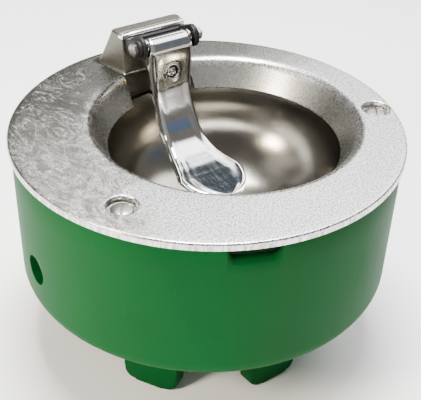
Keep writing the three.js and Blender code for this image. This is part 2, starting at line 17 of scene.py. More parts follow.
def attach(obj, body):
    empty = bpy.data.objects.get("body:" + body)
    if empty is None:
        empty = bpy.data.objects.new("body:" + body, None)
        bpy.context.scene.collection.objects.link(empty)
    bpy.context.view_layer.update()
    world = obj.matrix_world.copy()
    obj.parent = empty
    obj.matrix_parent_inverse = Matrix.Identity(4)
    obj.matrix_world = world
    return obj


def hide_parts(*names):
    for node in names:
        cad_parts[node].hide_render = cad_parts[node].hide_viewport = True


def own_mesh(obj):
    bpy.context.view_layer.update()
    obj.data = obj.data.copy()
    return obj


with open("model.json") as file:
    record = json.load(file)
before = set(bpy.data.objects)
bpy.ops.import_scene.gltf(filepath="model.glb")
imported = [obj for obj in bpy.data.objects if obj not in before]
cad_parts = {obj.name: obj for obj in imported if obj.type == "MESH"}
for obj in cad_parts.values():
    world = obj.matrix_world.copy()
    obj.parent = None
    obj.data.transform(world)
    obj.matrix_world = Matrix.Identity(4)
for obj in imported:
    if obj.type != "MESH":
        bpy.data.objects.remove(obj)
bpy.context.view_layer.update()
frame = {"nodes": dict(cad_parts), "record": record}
MM = 0.001

# ---- Driving dimensions ----
COVER_R = 200
COVER_TOP = 250
MID_X = 25  # the opening, the paddle and the housing are centred on this X
OPENING = (MID_X, 5)
LIP_R, LIP_ROUND = 145, 12
FUNNEL_R, FUNNEL_END = 120.5, 220
PIN_Y, PIN_Z = 119, 288
PIN = (MID_X, PIN_Y, PIN_Z)
VALVE_Z = 257
VALVE = (MID_X, 0, VALVE_Z)
HOUSING_HALF, HOUSING_TOP = 40, 294
WALL_END = 227
WALL_Y, WALL_LEAN = 137.5, (7, 73)  # the front wall at the funnel's end, and its lean: mm of Y in mm of Z
PLATE_UNDER = 245
COUNTERBORE_R, COUNTERBORE_DEPTH = 14.5, 7
SCREW_HOLE_R = 4.8
COLUMN_TOP = 236
GAP = 0.3  # between pieces that touch in the real object
RECESS_X = (-17.5, 64)
SIDE_HOLE = (0, 8.5, 141)
NOTCH_TURN, SLOT_TURN = -111.5, 157
SCREWS = {"left": (-143.9, -76.5), "right": (171.6, -60.8)}
FOOT_ANGLES = (-150, -86, 30, 94)


# ---------------------------------------------------------------- mesh tools
def add_object(name, data):
    obj = bpy.data.objects.new(name, data)
    bpy.context.scene.collection.objects.link(obj)
    return obj


def mesh_of(name, points, faces, sharp=40):
    """A mesh object from points in millimetres, smooth but for edges sharper than `sharp` degrees."""
    mesh = bpy.data.meshes.new(name)
    mesh.from_pydata([tuple(float(c) * MM for c in p) for p in points], [], faces)
    work = bmesh.new()
    work.from_mesh(mesh)
    bmesh.ops.remove_doubles(work, verts=work.verts, dist=1e-6)
    bmesh.ops.recalc_face_normals(work, faces=work.faces)
    work.to_mesh(mesh)
    work.free()
    obj = add_object(name, mesh)
    shade(obj, sharp)
    return obj


def shade(obj, sharp=40):
    obj.data.shade_smooth()
    obj.data.set_sharp_from_angle(angle=math.radians(sharp))


def rounded(outline, radius, steps=6):
    """A closed 2-D outline with rounded corners; radius is one number or one a corner."""
    count = len(outline)
    radii = radius if isinstance(radius, (list, tuple)) else [radius] * count
    out = []
    for i, r in enumerate(radii):
        p = Vector(outline[i])
        if not r:
            out.append(tuple(p))
            continue
        a, b = Vector(outline[i - 1]) - p, Vector(outline[(i + 1) % count]) - p
        half = a.angle(b) / 2
        reach = min(r / math.tan(half), 0.49 * a.length, 0.49 * b.length)
        r = reach * math.tan(half)
        centre = p + (a.normalized() + b.normalized()).normalized() * (r / math.sin(half))
        v0, v1 = p + a.normalized() * reach - centre, p + b.normalized() * reach - centre
        sweep = math.atan2(v0.x * v1.y - v0.y * v1.x, v0.dot(v1))
        for k in range(steps + 1):
            out.append(tuple(centre + Matrix.Rotation(sweep * k / steps, 2) @ v0))
    return out


def arc(cx, cy, r, start, end, steps):
    angles = np.radians(np.linspace(start, end, steps + 1))
    return [(cx + r * math.cos(a), cy + r * math.sin(a)) for a in angles]


def rings(name, rows, segments, closed=True):
    """A surface through circles given as (radius, z, centre x, centre y); a row of radius 0 is a pole."""
    angles = np.linspace(0, 2 * math.pi, segments, endpoint=False)
    points, index = [], []
    for r, z, cx, cy in rows:
        if r < 1e-6:
            index.append([len(points)] * segments)
            points.append((cx, cy, z))
        else:
            index.append(range(len(points), len(points) + segments))
            points += [(cx + r * math.cos(a), cy + r * math.sin(a), z) for a in angles]
    faces = []
    for i in range(len(rows) if closed else len(rows) - 1):
        a, b = index[i], index[(i + 1) % len(rows)]
        for j in range(segments):
            k = (j + 1) % segments
            face = list(dict.fromkeys((a[j], a[k], b[k], b[j])))
            if len(face) > 2:
                faces.append(face)
    return mesh_of(name, points, faces)


def turned(name, profile, segments, centre=(0, 0)):
    """A closed [radius, z] profile turned about a vertical axis."""
    return rings(name, [(r, z, *centre) for r, z in profile], segments)


def rod(name, r, start, end, segments, centre=(0, 0)):
    """A plain cylinder along Z."""
    return turned(name, [(0, start), (r, start), (r, end), (0, end)], segments, centre)


def stacked(name, loops, sharp=40):
    """A capped solid through loops of 3-D points with the same count."""
    size = len(loops[0])
    points = [p for loop in loops for p in loop]
    faces = []
    for i in range(len(loops) - 1):
        for j in range(size):
            k = (j + 1) % size
            faces.append((i * size + j, i * size + k, (i + 1) * size + k, (i + 1) * size + j))
    faces.append(tuple(range(size)))
    faces.append(tuple(range((len(loops) - 1) * size, len(loops) * size)))
    return mesh_of(name, points, faces, sharp)


def prism(name, outline, x0, x1):
    """A solid whose outline in Y and Z runs from x0 to x1."""
    return stacked(name, [[(x, y, z) for y, z in outline] for x in (x0, x1)])


def block(name, x, y, z):
    loops = [[(x[0], y[0], h), (x[1], y[0], h), (x[1], y[1], h), (x[0], y[1], h)] for h in z]
    return stacked(name, loops)


def apply_modifiers(obj):
    graph = bpy.context.evaluated_depsgraph_get()
    made = bpy.data.meshes.new_from_object(obj.evaluated_get(graph))
    obj.modifiers.clear()
    obj.data = made


def combine(obj, operation, *others):
    """Adds, cuts or intersects other objects, which are used up."""
    for other in others:
        modifier = obj.modifiers.new("combine", "BOOLEAN")
        modifier.operation = operation
        modifier.solver = "EXACT"
        modifier.object = other
        apply_modifiers(obj)
        bpy.data.objects.remove(other)
    shade(obj)
    return obj


def turn_to(obj, axis, place=(0, 0, 0)):
    """Turns an object made along Z so that it runs along X or Y, then moves it."""
    turn = {"x": Matrix.Rotation(math.pi / 2, 4, "Y"), "y": Matrix.Rotation(-math.pi / 2, 4, "X")}[axis]
    obj.data.transform(Matrix.Translation(Vector(place) * MM) @ turn)
    return obj


def moved(obj, x=0, y=0, z=0, turn=0):
    """Turns an object about Z by degrees, then moves it."""
    place = Matrix.Translation(Vector((x, y, z)) * MM)
    obj.data.transform(place @ Matrix.Rotation(math.radians(turn), 4, "Z"))
    return obj


def soften(obj, width, angle=35, segments=3, keep=lambda p: True):
    """Rounds the sharp edges whose middle passes `keep`, given in millimetres."""
    work = bmesh.new()
    work.from_mesh(obj.data)
    bmesh.ops.remove_doubles(work, verts=work.verts, dist=2e-5)
    limit = math.radians(angle)
    edges = []
    for e in work.edges:
        if len(e.link_faces) == 2 and e.calc_face_angle() > limit:
            if keep((e.verts[0].co + e.verts[1].co) / 2 / MM):
                edges.append(e)
    options = {"segments": segments, "profile": 0.5, "affect": "EDGES", "clamp_overlap": True}
    bmesh.ops.bevel(work, geom=edges, offset=width * MM, **options)
    work.to_mesh(obj.data)
    work.free()
    shade(obj)
    return obj


def remeshed(obj, voxel, passes):
    """One even skin round the object's pieces, with its edges softened."""
    modifier = obj.modifiers.new("voxels", "REMESH")
    modifier.mode = "VOXEL"
    modifier.voxel_size = voxel * MM
    even = obj.modifiers.new("even", "SMOOTH")
    even.factor = 0.5
    even.iterations = passes
    apply_modifiers(obj)
    shade(obj, 60)
    return obj


def joined(name, objects):
    """One object that holds several closed meshes."""
    work = bmesh.new()
    for o in objects:
        work.from_mesh(o.data)
        bpy.data.objects.remove(o)
    mesh = bpy.data.meshes.new(name)
    work.to_mesh(mesh)
    work.free()
    obj = add_object(name, mesh)
    shade(obj)
    return obj


def piece(obj, body, slot, material, *nodes):
    """Gives a finished mesh its body and material, and hides the CAD nodes that it replaces; slot is not
    used.
    """
    obj.data.materials.clear()
    obj.data.materials.append(material)
    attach(obj, body)
    if nodes:
        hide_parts(*nodes)
    return obj


# ---------------------------------------------------------------- materials
class Nodes:
    """A material under construction; its coordinates are the row frame's, in metres."""

    def __init__(self, name):
        self.material = bpy.data.materials.new(name)
        self.material.use_nodes = True
        self.tree = self.material.node_tree
        self.tree.nodes.clear()
        self.out = self.add("ShaderNodeOutputMaterial")
        self.shader = self.add("ShaderNodeBsdfPrincipled")
        self.link(self.shader.outputs[0], self.out.inputs[0])
        self.place = self.add("ShaderNodeTexCoord").outputs["Object"]

    def add(self, kind, **settings):
        node = self.tree.nodes.new(kind)
        for key, value in settings.items():
            setattr(node, key, value)
        return node

    def link(self, source, target):
        self.tree.links.new(source, target)

    def set(self, socket, value):
        if isinstance(value, bpy.types.NodeSocket):
            self.link(value, socket)
        else:
            socket.default_value = value

    def scaled(self, x, y, z, turn=0):
        """Coordinates multiplied by x, y and z, then turned about Z by degrees."""
        node = self.add("ShaderNodeMapping")
        self.link(self.place, node.inputs["Vector"])
        node.inputs["Rotation"].default_value = (0, 0, math.radians(turn))
        node.inputs["Scale"].default_value = (x, y, z)
        return node.outputs[0]

    def noise(self, scale, detail=3.0, rough=0.5, vector=None, distort=0.0):
        node = self.add("ShaderNodeTexNoise")
        self.link(vector or self.place, node.inputs["Vector"])
        node.inputs["Scale"].default_value = scale
        node.inputs["Detail"].default_value = detail
        node.inputs["Roughness"].default_value = rough
        node.inputs["Distortion"].default_value = distort
        return node.outputs["Fac"]

    def remap(self, value, low, high, to_low=0.0, to_high=1.0, smooth=False):
        node = self.add("ShaderNodeMapRange")
        node.interpolation_type = "SMOOTHSTEP" if smooth else "LINEAR"
        self.set(node.inputs["Value"], value)
        for socket, number in zip(node.inputs[1:5], (low, high, to_low, to_high)):
            socket.default_value = number
        return node.outputs[0]

    def math(self, operation, a, b=0.0):
        node = self.add("ShaderNodeMath", operation=operation)
        self.set(node.inputs[0], a)
        self.set(node.inputs[1], b)
        return node.outputs[0]

    def plus(self, a, b):
        return self.math("ADD", a, b)

    def minus(self, a, b):
        return self.math("SUBTRACT", a, b)

    def times(self, a, b):
        return self.math("MULTIPLY", a, b)

    def colours(self, factor, a, b):
        node = self.add("ShaderNodeMix", data_type="RGBA")
        self.set(node.inputs["Factor"], factor)
        self.set(node.inputs["A"], a if isinstance(a, bpy.types.NodeSocket) else (*a, 1))
        self.set(node.inputs["B"], b if isinstance(b, bpy.types.NodeSocket) else (*b, 1))
        return node.outputs["Result"]

    def axes(self):
        """X, Y and Z."""
        node = self.add("ShaderNodeSeparateXYZ")
        self.link(self.place, node.inputs[0])
        return node.outputs

    def from_axis(self):
        """The distance from the base's upright axis."""
        flat = self.add("ShaderNodeVectorMath", operation="MULTIPLY")
        self.link(self.place, flat.inputs[0])
        flat.inputs[1].default_value = (1, 1, 0)
        length = self.add("ShaderNodeVectorMath", operation="LENGTH")
        self.link(flat.outputs[0], length.inputs[0])
        return length.outputs["Value"]

    def bump(self, height, strength, distance, normal=None):
        """A bump of `distance` millimetres; a second one can follow the first."""
        node = self.add("ShaderNodeBump")
        self.link(height, node.inputs["Height"])
        node.inputs["Strength"].default_value = strength
        node.inputs["Distance"].default_value = distance * MM
        if normal:
            self.link(normal, node.inputs["Normal"])
        return node.outputs[0]

    def finish(self, colour, roughness, metallic=0.0, normal=None, **sockets):
        self.set(self.shader.inputs["Base Color"], colour)
        self.set(self.shader.inputs["Roughness"], roughness)
        self.shader.inputs["Metallic"].default_value = metallic
        if normal:
            self.link(normal, self.shader.inputs["Normal"])
        for key, value in sockets.items():
            self.shader.inputs[key.replace("_", " ")].default_value = value
        return self.material


def cast_aluminium():
    """Sand-cast: a fine bright grain, and a scratched, swirled patch where it was ground at the left."""
    n = Nodes("cast_aluminium")
    x, y, z = n.axes()
    grain = n.noise(520, 3.0, 0.7)
    fine = n.noise(1500, 2.0, 0.6)
    cloud = n.noise(26, 4.0, 0.6)
    # the ground patch lies towards -X and ends in an uneven edge
    left = n.plus(n.times(x, -1.0), n.times(y, 0.30))
    left = n.plus(left, n.remap(cloud, 0.3, 0.7, -0.035, 0.035))
    ground = n.remap(left, 0.085, 0.130, smooth=True)
    swirl = n.noise(42, 6.0, 0.75, n.scaled(1.0, 0.55, 1.0, 38), 3.5)
    hairs = n.noise(330, 4.0, 0.75, n.scaled(1.0, 0.22, 1.0, 20), 2.5)
    light = n.times(n.remap(swirl, 0.46, 0.60), n.remap(hairs, 0.46, 0.60))
    dark = n.remap(n.remap(swirl, 0.50, 0.36), 0, 1, 0.55, 1.0)
    base = n.colours(n.remap(grain, 0.38, 0.60), (0.28, 0.28, 0.27), (0.97, 0.97, 0.965))
    # the patch is darkened in swirls: partly its scratches, partly a painted reflection of the dark room
    base = n.colours(n.times(ground, dark), base, (0.30, 0.29, 0.25))
    # painted shade: the rear of the cover's top is darkened, and the inside of its funnel is mixed towards
    # an even mid grey
    rear = n.plus(y, n.remap(cloud, 0.3, 0.7, -0.02, 0.02))
    rear = n.remap(rear, 0.01, 0.14, 0.0, 0.92, smooth=True)
    base = n.colours(n.times(rear, n.remap(z, 0.2440, 0.2495)), base, (0.115, 0.115, 0.10))
    base = n.colours(n.remap(z, 0.2470, 0.2400, 0.0, 0.85), base, (0.50, 0.495, 0.465))
    # the housing keeps the darker skin of the casting; its recessed front wall gets the same dark tone as
    # painted shade
    off_middle = n.math("ABSOLUTE", n.minus(x, MID_X * MM))
    wall = n.times(n.remap(y, 0.1360, 0.1370), n.remap(off_middle, 0.0412, 0.0408))
    skin_and_shade = n.math("MAXIMUM", n.remap(z, 0.2512, 0.2530), n.times(wall, n.remap(z, 0.2490, 0.2480)))
    skin_and_shade_tone = n.colours(n.remap(grain, 0.36, 0.62), (0.125, 0.12, 0.10), (0.18, 0.173, 0.148))
    base = n.colours(skin_and_shade, base, skin_and_shade_tone)
    # painted highlight: the bead on the housing's top edge is painted near white
    bead_highlight = n.times(n.remap(z, 0.2890, 0.2900), n.remap(y, 0.1515, 0.1505))
    base = n.colours(bead_highlight, base, (0.97, 0.97, 0.96))
    base = n.colours(n.times(ground, n.times(light, 0.9)), base, (0.98, 0.96, 0.90))
    # the turned outer edge is duller, with upright scratches
    streaks = n.noise(260, 3.0, 0.6, n.scaled(1.0, 1.0, 0.08))
    scratched = n.colours(n.remap(streaks, 0.38, 0.62), (0.34, 0.335, 0.32), (0.72, 0.715, 0.70))
    edge = n.times(n.remap(z, 0.2478, 0.2470), n.remap(n.from_axis(), 0.1985, 0.1995))
    base = n.colours(edge, base, scratched)
    # the skin is rougher than the grain, and the ground patch and the bead are smoother
    rough = n.plus(n.remap(cloud, 0.3, 0.7, 0.24, 0.30), n.remap(grain, 0.3, 0.7, -0.04, 0.05))
    rough = n.minus(rough, n.times(ground, n.remap(swirl, 0.35, 0.65, 0.08, 0.0)))
    rough = n.minus(rough, n.times(bead_highlight, 0.08))
    rough = n.plus(rough, n.times(n.minus(skin_and_shade, bead_highlight), 0.16))
    top = n.remap(z, 0.2480, 0.2498)
    coarse = n.times(n.remap(top, 0, 1, 0.12, 1), n.remap(skin_and_shade, 0, 1, 1, 0.3))
    normal = n.bump(n.times(n.plus(grain, n.times(fine, 0.5)), coarse), 0.8, 0.24)
    ridges = n.times(ground, n.plus(n.times(swirl, 0.6), n.times(hairs, 0.35)))
    ridges = n.times(n.plus(ridges, n.times(cloud, 0.12)), top)
    return n.finish(base, rough, 1.0, n.bump(ridges, 0.6, 0.9, normal))


def drawn_steel():
    """The bowl: dull satin, with faint marks of drawing, blotches and hairline scratches."""
    n = Nodes("drawn_steel")
    blotches = n.noise(14, 3.0, 0.5)
    grain = n.noise(800, 2.0, 0.5)
    scratches = n.noise(50, 5.0, 0.7, n.scaled(1, 1, 0.08), 1.5)
    colour = n.colours(n.remap(blotches, 0.35, 0.65), (0.155, 0.146, 0.126), (0.235, 0.221, 0.193))
    rough = n.plus(n.remap(blotches, 0.3, 0.7, 0.17, 0.21), n.remap(grain, 0.3, 0.7, -0.02, 0.03))
    normal = n.bump(grain, 0.35, 0.03)
    normal = n.bump(scratches, 0.2, 0.25, normal)
    # painted light: towards the left rear, the bowl's colour is brightened
    x, y, _ = n.axes()
    painted_light_left_rear = n.remap(n.minus(y, x), 0.02, 0.12, 0.0, 0.85, smooth=True)
    colour = n.colours(painted_light_left_rear, colour, (0.50, 0.48, 0.43))
    return n.finish(colour, rough, 1.0, normal)


def polished_steel():
    """The paddle: near mirror, with hairline scratches, slight waviness and fine wear."""
    n = Nodes("polished_steel")
    broad = n.noise(24, 2.0, 0.5)
    lines = n.noise(500, 3.0, 0.6, n.scaled(1, 0.06, 0.06, 12))
    wear = n.noise(90, 4.0, 0.6)
    colour = n.colours(n.remap(wear, 0.4, 0.7), (0.74, 0.74, 0.735), (0.64, 0.635, 0.62))
    rough = n.plus(n.remap(lines, 0.35, 0.7, 0.05, 0.10), n.remap(wear, 0.45, 0.75, 0.0, 0.06))
    normal = n.bump(lines, 0.12, 0.02)
    z = n.axes()[2]
    waves = n.times(broad, n.remap(z, 0.200, 0.220, 1.0, 0.2))
    normal = n.bump(waves, 0.16, 0.8, normal)
    return n.finish(colour, rough, 1.0, normal)


def plated_steel():
    n = Nodes("plated_steel")
    spots = n.noise(260, 4.0, 0.6)
    colour = n.colours(n.remap(spots, 0.4, 0.7), (0.32, 0.31, 0.285), (0.21, 0.20, 0.175))
    rough = n.remap(spots, 0.3, 0.7, 0.24, 0.42)
    return n.finish(colour, rough, 1.0, n.bump(spots, 0.35, 0.08))


def brass():
    n = Nodes("brass_turned")
    grooves = n.noise(700, 2.0, 0.5, n.scaled(1, 0.1, 0.1))
    tarnish = n.noise(60, 4.0, 0.6)
    colour = n.colours(n.remap(tarnish, 0.35, 0.7), (0.80, 0.62, 0.30), (0.48, 0.34, 0.15))
    rough = n.remap(tarnish, 0.3, 0.7, 0.28, 0.48)
    return n.finish(colour, rough, 1.0, n.bump(grooves, 0.3, 0.03))


def green_plastic():
    """Moulded polyethylene: saturated and dull, with faint mottling and scuffs, and painted shade in its
    pocket.
    """
    n = Nodes("green_plastic")
    mottle = n.noise(9, 4.0, 0.5)
    grain = n.noise(1100, 2.0, 0.5)
    scuffs = n.noise(70, 5.0, 0.75, n.scaled(1, 1, 0.25), 0.6)
    colour = n.colours(n.remap(mottle, 0.3, 0.7), (0.0014, 0.052, 0.0100), (0.0022, 0.065, 0.0138))
    colour = n.colours(n.remap(scuffs, 0.62, 0.85, 0.0, 0.35), colour, (0.010, 0.12, 0.026))
    z = n.axes()[2]
    # painted shade: the pocket under the cover's edge is darkened to near black
    pocket = n.times(n.remap(n.from_axis(), 0.1955, 0.1915), n.remap(z, 0.222, 0.234))
    colour = n.colours(n.times(pocket, 0.92), colour, (0.001, 0.008, 0.002))
    rough = n.plus(n.remap(mottle, 0.3, 0.7, 0.46, 0.56), n.remap(scuffs, 0.5, 0.8, 0.0, 0.08))
    normal = n.bump(grain, 0.35, 0.05)
    normal = n.bump(mottle, 0.12, 1.2, normal)
    return n.finish(colour, rough, 0.0, normal, Specular_IOR_Level=0.045)


def black_plastic():
    n = Nodes("black_plastic")
    grain = n.noise(1300, 2.0, 0.5)
    wear = n.noise(80, 4.0, 0.6)
    colour = n.colours(n.remap(wear, 0.45, 0.75), (0.006, 0.006, 0.006), (0.018, 0.017, 0.016))
    rough = n.remap(wear, 0.3, 0.7, 0.36, 0.54)
    return n.finish(colour, rough, 0.0, n.bump(grain, 0.4, 0.05), Specular_IOR_Level=0.22)


def rubber():
    n = Nodes("rubber_black")
    grain = n.noise(900, 3.0, 0.6)
    colour = n.colours(grain, (0.010, 0.010, 0.010), (0.030, 0.030, 0.030))
    return n.finish(colour, n.remap(grain, 0.3, 0.7, 0.72, 0.88), 0.0, n.bump(grain, 0.3, 0.05))


# ---------------------------------------------------------------- cover
def front_wall_y(z):
    """Y of the wall that leans back from the funnel's end to the housing's top."""
    return WALL_Y + (z - FUNNEL_END) * WALL_LEAN[0] / WALL_LEAN[1]


def cover_skin():
    """The casting without its housing: round the base's axis outside, round the opening's inside."""
    around = lambda r, z: (r, z, 0, 0)
    inside = lambda r, z: (r, z, *OPENING)
    ring_r, ring_end = 147.5, 217.4  # the ring that presses on the bowl's flange
    edge_in, edge_end, edge_round = 195, 242, 2.5
    rows = [inside(ring_r, ring_end), inside(ring_r, PLATE_UNDER)]
    rows += [around(edge_in, PLATE_UNDER), around(edge_in, edge_end + 0.6), around(edge_in + 0.6, edge_end)]
    rows += [around(COVER_R - 0.8, edge_end), around(COVER_R, edge_end + 0.8)]
    flat_r = COVER_R - edge_round
    rows += [around(r, z) for r, z in arc(flat_r, COVER_TOP - edge_round, edge_round, 0, 90, 6)]
    for k in range(1, 8):  # the flat top, between the two sets of circles
        t = k / 8
        rows.append((flat_r + (LIP_R - flat_r) * t, COVER_TOP, OPENING[0] * t, OPENING[1] * t))
    rows += [inside(r, z) for r, z in arc(LIP_R, COVER_TOP - LIP_ROUND, LIP_ROUND, 90, 140, 12)]
    lip_r, lip_z = rows[-1][0], rows[-1][1]
    for k in range(1, 6):
        t = k / 6
        rows.append(inside(lip_r + (FUNNEL_R - lip_r) * t, lip_z + (FUNNEL_END + 0.8 - lip_z) * t))
    rows += [inside(FUNNEL_R, FUNNEL_END + 0.8), inside(FUNNEL_R + 0.5, FUNNEL_END + 0.1)]
    rows += [inside(FUNNEL_R + 4, FUNNEL_END), inside(143, 231.5), inside(143, ring_end)]
    return rings("cast_cover_detail", rows, 288)


def housing_half(y, z):
    """Half the housing's width: it grows towards the rear, and more so at its foot."""
    return HOUSING_HALF + (0.267 - (z - COVER_TOP) * 0.003) * (y - front_wall_y(z))


def housing_rear(z):
    """Y of the housing's rear wall, which leans forward."""
    return 184 - max(0, z - COVER_TOP) * 0.41


def housing_loop(z, grow, corner):
    """The housing's outline at height z, moved outwards by `grow`."""
    y0, y1 = front_wall_y(z) - grow, housing_rear(z) + grow
    front, rear = housing_half(y0, z) + grow, housing_half(y1, z) + grow
    outline = [(MID_X - front, y0), (MID_X + front, y0), (MID_X + rear, y1), (MID_X - rear, y1)]
    return [(x, y, z) for x, y in rounded(outline, [corner, corner, 5.0, 5.0])]


def housing():
    """The hinge housing: it leans in at all sides, with a fillet at its foot and rounded edges on top."""
    fillet, top, corner = 3.2, 1.7, 1.3
    quarter = [math.radians(90 * k / 6) for k in range(0, 7)]
    loops = [housing_loop(245.5, 0, corner)]
    for a in quarter:  # fillet: tangent to the cover at its foot
        grow = fillet * (1 - math.sin(a))
        z = COVER_TOP - 0.15 + fillet * (1 - math.cos(a))
        loops.append(housing_loop(z, grow, corner + grow * 0.5))
    for z in (256, 261, 266, 272, 278, 284, HOUSING_TOP - top):
        loops.append(housing_loop(z, 0, corner))
    for a in quarter[1:]:
        loops.append(housing_loop(HOUSING_TOP - top * (1 - math.sin(a)), -top * (1 - math.cos(a)), corner))
    solid = stacked("housing_block", loops, 50)
    foot, back = front_wall_y(WALL_END), 151
    outline = [(foot, WALL_END), (front_wall_y(COVER_TOP), COVER_TOP), (back, COVER_TOP)]
    outline += [(back, PLATE_UNDER), (foot + 9, PLATE_UNDER), (foot + 4.5, WALL_END)]
    wall = prism("front_wall", outline, RECESS_X[0] - 0.5, RECESS_X[1] + 0.5)
    groove = rod("groove", 2.2, MID_X - 35.5, MID_X + 35.5, 40)  # behind the bead
    combine(solid, "DIFFERENCE", turn_to(groove, "x", (0, 152.2, 295.0)))
    return combine(solid, "UNION", wall, top_bead())


def top_bead():
    """The bead along the housing's top front edge, 0.5 mm above it, with a knob at each end."""
    y, z, r, half = front_wall_y(291) + 2.9, HOUSING_TOP - 2.8, 3.3, 35
    # X from the knob and radius, from the bead's end to where it is plain
    knob = [(-3.4, 0.0), (-3.1, 1.3), (-2.1, 2.4), (-0.4, 2.9), (1.3, 2.5), (2.6, 2.0), (4.2, 2.5), (7, r)]
    stations = [(MID_X - half + x, w) for x, w in knob]
    stations += [(2 * MID_X - x, w) for x, w in reversed(stations)]
    bead = rings("bead", [(w, x, 0, 0) for x, w in stations], 40, False)
    return turn_to(bead, "x", (0, y, z))


def screw_cutter(x, y):
    """The counterbore, with a rounded mouth, and the screw's hole."""
    floor, r, mouth = COVER_TOP - COUNTERBORE_DEPTH, COUNTERBORE_R, 1.6
    under, above = COVER_TOP - 40, COVER_TOP + 2
    profile = [(0, under), (SCREW_HOLE_R, under), (SCREW_HOLE_R, floor)]
    profile += [(r - 1.2, floor), (r - 0.35, floor + 0.35), (r, floor + 1.2)]
    for a in np.radians(range(0, 91, 15)):
        profile.append((r + mouth * (1 - math.cos(a)), COVER_TOP - mouth + mouth * math.sin(a)))
    profile += [(r + mouth, above), (0, above)]
    return turned("cutter", profile, 72, (x, y))


def screw_boss(x, y):
    """The cup round a counterbore, trimmed to the cover's edge, and the stepped pad under it."""
    floor, foot = COVER_TOP - COUNTERBORE_DEPTH, COLUMN_TOP + GAP
    cup = rod("cup", COUNTERBORE_R + 4, floor - 1, COVER_TOP - 1, 72, (x, y))
    profile = [(0, foot), (9, foot), (9, floor - 4), (15, floor - 4), (15, floor), (0, floor)]
    pad = turned("pad", profile, 72, (x, y))
    trim = rod("trim", COVER_R - 1.5, 200, 260, 128)
    return combine(combine(cup, "INTERSECT", trim), "UNION", pad)


def housing_cavity():
    """The room inside the housing, open below."""
    wall, loops = 4.5, []
    for z, y1 in ((COVER_TOP - 0.5, 178.5), (263, 173.5), (276, 168.5), (HOUSING_TOP - 5, 163.5)):
        y0 = front_wall_y(z) + wall
        front, rear = housing_half(y0, z) - wall, housing_half(y1, z) - wall
        corners = [(MID_X - front, y0), (MID_X + front, y0), (MID_X + rear, y1), (MID_X - rear, y1)]
        loops.append([(x, y, z) for x, y in corners])
    return stacked("cavity", loops)


def cover(material):
    obj = cover_skin()
    x0, x1 = RECESS_X
    combine(obj, "UNION", *[screw_boss(*at) for at in SCREWS.values()])
    combine(obj, "DIFFERENCE", block("recess", RECESS_X, (80, 142), (190, 300)))
    combine(obj, "UNION", housing())
    hatch = block("hatch", (MID_X - 32.5, MID_X + 32.5), (153.5, 178), (200, 251))
    combine(obj, "DIFFERENCE", housing_cavity(), hatch)
    nut_room = block("pocket", (MID_X - 18, MID_X + 18), (147, 154), (240.5, 251))
    combine(obj, "DIFFERENCE", nut_room)
    pad = turned("pad", [(0, 135), (15.2, 135), (16, 135.8), (16, 147), (0, 147)], 72)
    combine(obj, "UNION", turn_to(pad, "y", VALVE))
    hole = turn_to(rod("hole", 10.8, 120, 160, 64), "y", VALVE)
    combine(obj, "DIFFERENCE", hole, *[screw_cutter(*at) for at in SCREWS.values()])
    at_cut = lambda p: abs(p.x - x0) < 0.05 or abs(p.x - x1) < 0.05
    soften(obj, 1.3, 30, 3, lambda p: 100 < p.y < 137 and p.z > 219 and at_cut(p))
    return piece(obj, "housing", "cast_aluminium", material, "cast_cover")


# ---------------------------------------------------------------- base body
def skirt():
    """The body's wall: it leans in by 3 mm, turns under in a large round and ends at the opening below."""
    turn_r, turn_z, top_r, rim = 172.5, 105.5, 197, 240.9
    profile = [(196.2, 241.7), (196.8, 241.5), (top_r, rim)]
    profile += [(top_r - 3 * t, rim - 135.4 * t) for t in (0.2, 0.4, 0.6, 0.8)]
    profile += arc(turn_r, turn_z, 21.5, 0, -90, 14)
    profile += [(140, 84), (109.5, 84), (108.4, 84.5), (108, 85.5), (108, 88.5)]
    profile += arc(turn_r, turn_z, 17, -90, 0, 10)
    profile += [(192.5, rim), (192.7, 241.5), (193.3, 241.7)]
    return turned("base_body_detail", profile, 256)


def foot(angle):
    """A curved pad under the body, with soft edges and rounded lower corners."""
    band = turned("band", [(108, 0), (127, 0), (127.6, 85.5), (107.4, 85.5)], 200)
    half, height, corner = 30.5, 90, 10
    outline = [(-half - 2, height), (-half, 0), (half, 0), (half + 2, height)]
    outline = rounded(outline, [0, corner, corner, 0], 8)
    slab = stacked("slab", [[(x, y, z) for x, z in outline] for y in (-140, -90)])
    made = combine(slab, "INTERSECT", band)
    return moved(remeshed(made, 1.4, 6), turn=angle + 90)


def notch_cutter():
    """The pocket under the cover's edge: its mouth flares out in a soft curve."""
    half, floor, corner, above = 22, 230.5, 6, 262
    flare = [(189, 0), (190.2, 0.35), (191.6, 1.0), (193, 2.1), (194.3, 3.6), (195.6, 5.6)]
    flare += [(197.5, 9.5), (215, 30)]
    loops = []
    for y, grow in flare:
        x, z, r = half + grow, floor - grow, corner + grow
        outline = rounded([(-x, z), (x, z), (x, above), (-x, above)], [r, r, 0, 0], 10)
        loops.append([(px, y, pz) for px, pz in outline])
    return moved(stacked("notch", loops), turn=NOTCH_TURN - 90)


def side_hole_cutter():
    """The hole through the boss at the left, with a rounded mouth."""
    r, mouth, face = 15.5, 1.6, -193.6
    curve = []
    for a in np.radians(range(90, -1, -15)):
        curve.append((r + mouth * (1 - math.cos(a)), face - mouth * math.sin(a)))
    profile = [(0, -215), (r + mouth, -215), *curve, (r, -170), (0, -170)]
    return turn_to(turned("side", profile, 72), "x", SIDE_HOLE)


